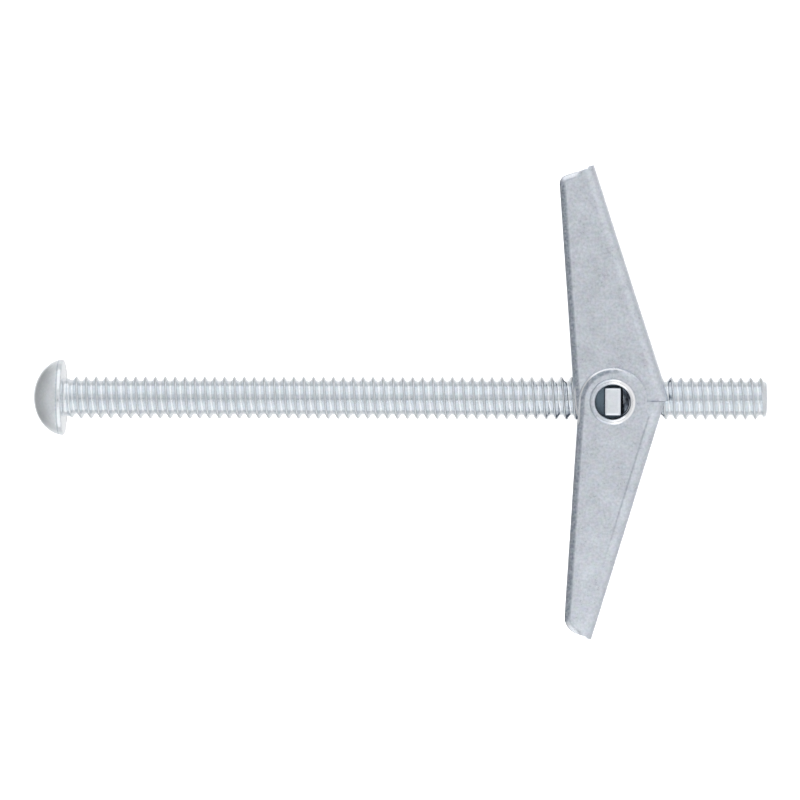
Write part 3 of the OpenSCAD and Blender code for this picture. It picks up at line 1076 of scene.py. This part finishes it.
def studio_floor():
    """A plain pale floor just under the hubs' lips. It lights the metal no more than the
    rest of the studio does, so mirror rays pass it."""
    bm = bmesh.new()
    bmesh.ops.create_grid(bm, x_segments=1, y_segments=1, size=2.0,
                          matrix=Matrix.Translation((SCREW_TIP / 2, 0, -HUB_TOP)))
    floor = mesh_piece("floor", bm)
    floor.visible_glossy = False
    material, _, shader = new_material("pale floor", metallic=0.0)
    shader.inputs["Base Color"].default_value = (0.93, 0.93, 0.93, 1)
    shader.inputs["Roughness"].default_value = 0.9
    shader.inputs["Specular IOR Level"].default_value = 0.0
    floor.data.materials.append(material)


# What the metal mirrors, as (degrees from straight up, brightness): soft boxes to both sides
# of the bolt and past its tip, a dimmer room past its head, and the pale table below.
SIDE_LIGHT = ((0, 0.8), (7, 0.89), (40, 0.9), (74, 0.85), (86, 0.8), (104, 0.75), (120, 0.74),
              (132, 0.9), (180, 0.95))
HEAD_LIGHT = ((0, 0.74), (30, 0.74), (60, 0.71), (95, 0.52), (122, 0.42), (140, 0.4),
              (148, 0.9), (180, 0.95))
TIP_LIGHT = ((0, 0.74), (14, 0.84), (26, 0.9), (60, 0.88), (90, 0.74), (130, 0.73), (150, 0.84),
             (180, 0.9))


def light_ramp(t, angle, stops):
    """Brightness by the angle from straight up."""
    share = t.calc("DIVIDE", angle, math.pi)
    ramp = t.node("ShaderNodeValToRGB", {"Fac": share})
    elements = ramp.color_ramp.elements
    for degrees, _ in stops[1:-1]:
        elements.new(degrees / 180)
    for element, (_, level) in zip(elements, stops):
        element.color = (level, level, level, 1)
    return ramp.outputs[0]


def studio_world():
    """A white studio to the camera, an even fill on what is matt, and the soft boxes' light on
    what mirrors it."""
    world = bpy.data.worlds.new("studio")
    bpy.context.scene.world = world
    world.use_nodes = True
    world.cycles.sampling_method = "NONE"
    t = Tree(world.node_tree)
    background = world.node_tree.nodes["Background"]
    output = world.node_tree.nodes["World Output"]
    aim = t.node("ShaderNodeSeparateXYZ", {
        "Vector": t.node("ShaderNodeTexCoord").outputs["Generated"]}).outputs
    angle = t.calc("ARCCOSINE", aim["Z"])
    level_x = t.calc("POWER", aim["X"], 2.0)
    level_y = t.calc("POWER", aim["Y"], 2.0)
    flat = t.calc("SQRT", t.calc("MAXIMUM", t.calc("ADD", level_x, level_y), 0.000001))
    # From the room past the head to the one past the tip, and from both to the side lights
    forwards = t.node("ShaderNodeMapRange", {
        "Value": t.calc("DIVIDE", aim["X"], flat), "From Min": -0.25, "From Max": 0.25},
        interpolation_type="SMOOTHSTEP").outputs[0]
    sideways = t.node("ShaderNodeMapRange", {
        "Value": t.calc("DIVIDE", t.calc("ABSOLUTE", aim["Y"]), flat),
        "From Min": t.calc("MULTIPLY_ADD", forwards, -0.4, 0.5),
        "From Max": t.calc("MULTIPLY_ADD", forwards, -0.3, 1.0)},
        interpolation_type="SMOOTHSTEP").outputs[0]
    ends = t.mixed(forwards, light_ramp(t, angle, HEAD_LIGHT), light_ramp(t, angle, TIP_LIGHT))
    room = t.mixed(sideways, ends, light_ramp(t, angle, SIDE_LIGHT))
    t.feed(background.inputs["Color"], room)
    pale = t.node("ShaderNodeBackground", {"Color": WHITE, "Strength": 1.0})
    fill = t.node("ShaderNodeBackground", {"Color": WHITE, "Strength": 3.0})
    ray = t.node("ShaderNodeLightPath").outputs
    soft = t.node("ShaderNodeMixShader", {
        "Fac": ray["Is Diffuse Ray"], 1: background.outputs[0], 2: fill.outputs[0]})
    seen = t.node("ShaderNodeMixShader", {
        "Fac": ray["Is Camera Ray"], 1: soft.outputs[0], 2: pale.outputs[0]})
    t.feed(output.inputs["Surface"], seen.outputs[0])


def mirrored_card(name, low, high, glow):
    """A glowing card, from one corner to the other in mm, that shows only as a reflection in
    the metal."""
    low, high = Vector(low), Vector(high)
    span = high - low
    side = next(i for i in range(3) if span[i])
    along = Vector([span[i] if i == side else 0 for i in range(3)])
    bm = bmesh.new()
    bm.faces.new([bm.verts.new(spot * MM) for spot in (low, low + along, high, high - along)])
    card = mesh_piece(name, bm)
    for kind in ("camera", "diffuse", "transmission", "volume_scatter", "shadow"):
        setattr(card, "visible_" + kind, False)
    material, t, shader = new_material(name)
    material.node_tree.nodes.remove(shader)
    light = t.node("ShaderNodeEmission", {"Color": (glow, glow, glow, 1)})
    t.feed(material.node_tree.nodes["Material Output"].inputs["Surface"], light.outputs[0])
    material.cycles.emission_sampling = "NONE"
    card.data.materials.append(material)


def studio_camera():
    """Straight down on the bolt as it lies on the floor, from over its wings and a little
    towards the upper one."""
    distance = 540 * MM
    lift = math.radians(4.6)
    middle = Vector((35.954, -0.224, 0)) * MM
    view_width = 85.37 * MM
    roll = math.radians(-0.076)
    place = Vector((HINGE_X, middle.y + distance * math.sin(lift), distance * math.cos(lift)))
    back = (place - middle).normalized()
    right = Vector((0, 1, 0)).cross(back).normalized()
    up = back.cross(right)
    turned = right * math.cos(roll) + up * math.sin(roll)
    up = up * math.cos(roll) - right * math.sin(roll)
    lens = bpy.data.cameras.new("camera")
    lens.sensor_width = 36
    lens.lens = lens.sensor_width * (place - middle).length / view_width
    lens.clip_start = 0.01
    lens.clip_end = 20
    camera = link(bpy.data.objects.new("camera", lens))
    axes = (turned, up, back)
    camera.matrix_world = Matrix([[axis[i] for axis in axes] + [place[i]] for i in range(3)]
                                 + [[0, 0, 0, 1]])
    bpy.context.scene.camera = camera


# ---------- assembly ----------

plate = zinc_plate_group()
screw_zinc = plated("screw zinc", plate, colour=(0.765, 0.803, 0.838), roughness=0.16,
                    mottle_size=0.3, mottle=0.1, tint=0.06, relief=0.2, threaded=True)
wing_zinc = plated("wing zinc", plate, colour=(0.642, 0.682, 0.742), roughness=0.3,
                   mottle_size=0.3, mottle=0.3, tint=0.08, relief=0.35, pressed=True, bent=True)
nut_zinc = plated("nut zinc", plate, colour=(0.83, 0.87, 0.92), roughness=0.3,
                  mottle_size=0.3, mottle=0.1, tint=0.05, relief=0.2, pressed=True)

make_screw(screw_zinc)
press_wing("wing_inner", "folded_wing_inner", Channel(INNER_FACE, 1, INNER_WEB), wing_zinc)
press_wing("wing_outer", "folded_wing_outer", Channel(OUTER_FACE, -1, OUTER_WEB), wing_zinc)
make_nut(nut_zinc)
make_spring(drawn_wire())

studio_floor()
studio_world()
mirrored_card("overhead_card", (-110, -32, 300), (44, -16, 300), glow=0.34)
mirrored_card("wing_card", (44, -50, 300), (62, 14, 300), glow=0.33)
mirrored_card("tip_card", (40, -150, 300), (70, -76, 300), glow=2.1)
mirrored_card("upper_light", (-60, 120, -14), (110, 120, 220), glow=1.16)
mirrored_card("lower_light", (-60, -120, -14), (110, -120, 220), glow=1.16)
studio_camera()
bpy.context.scene.view_settings.view_transform = "Standard"
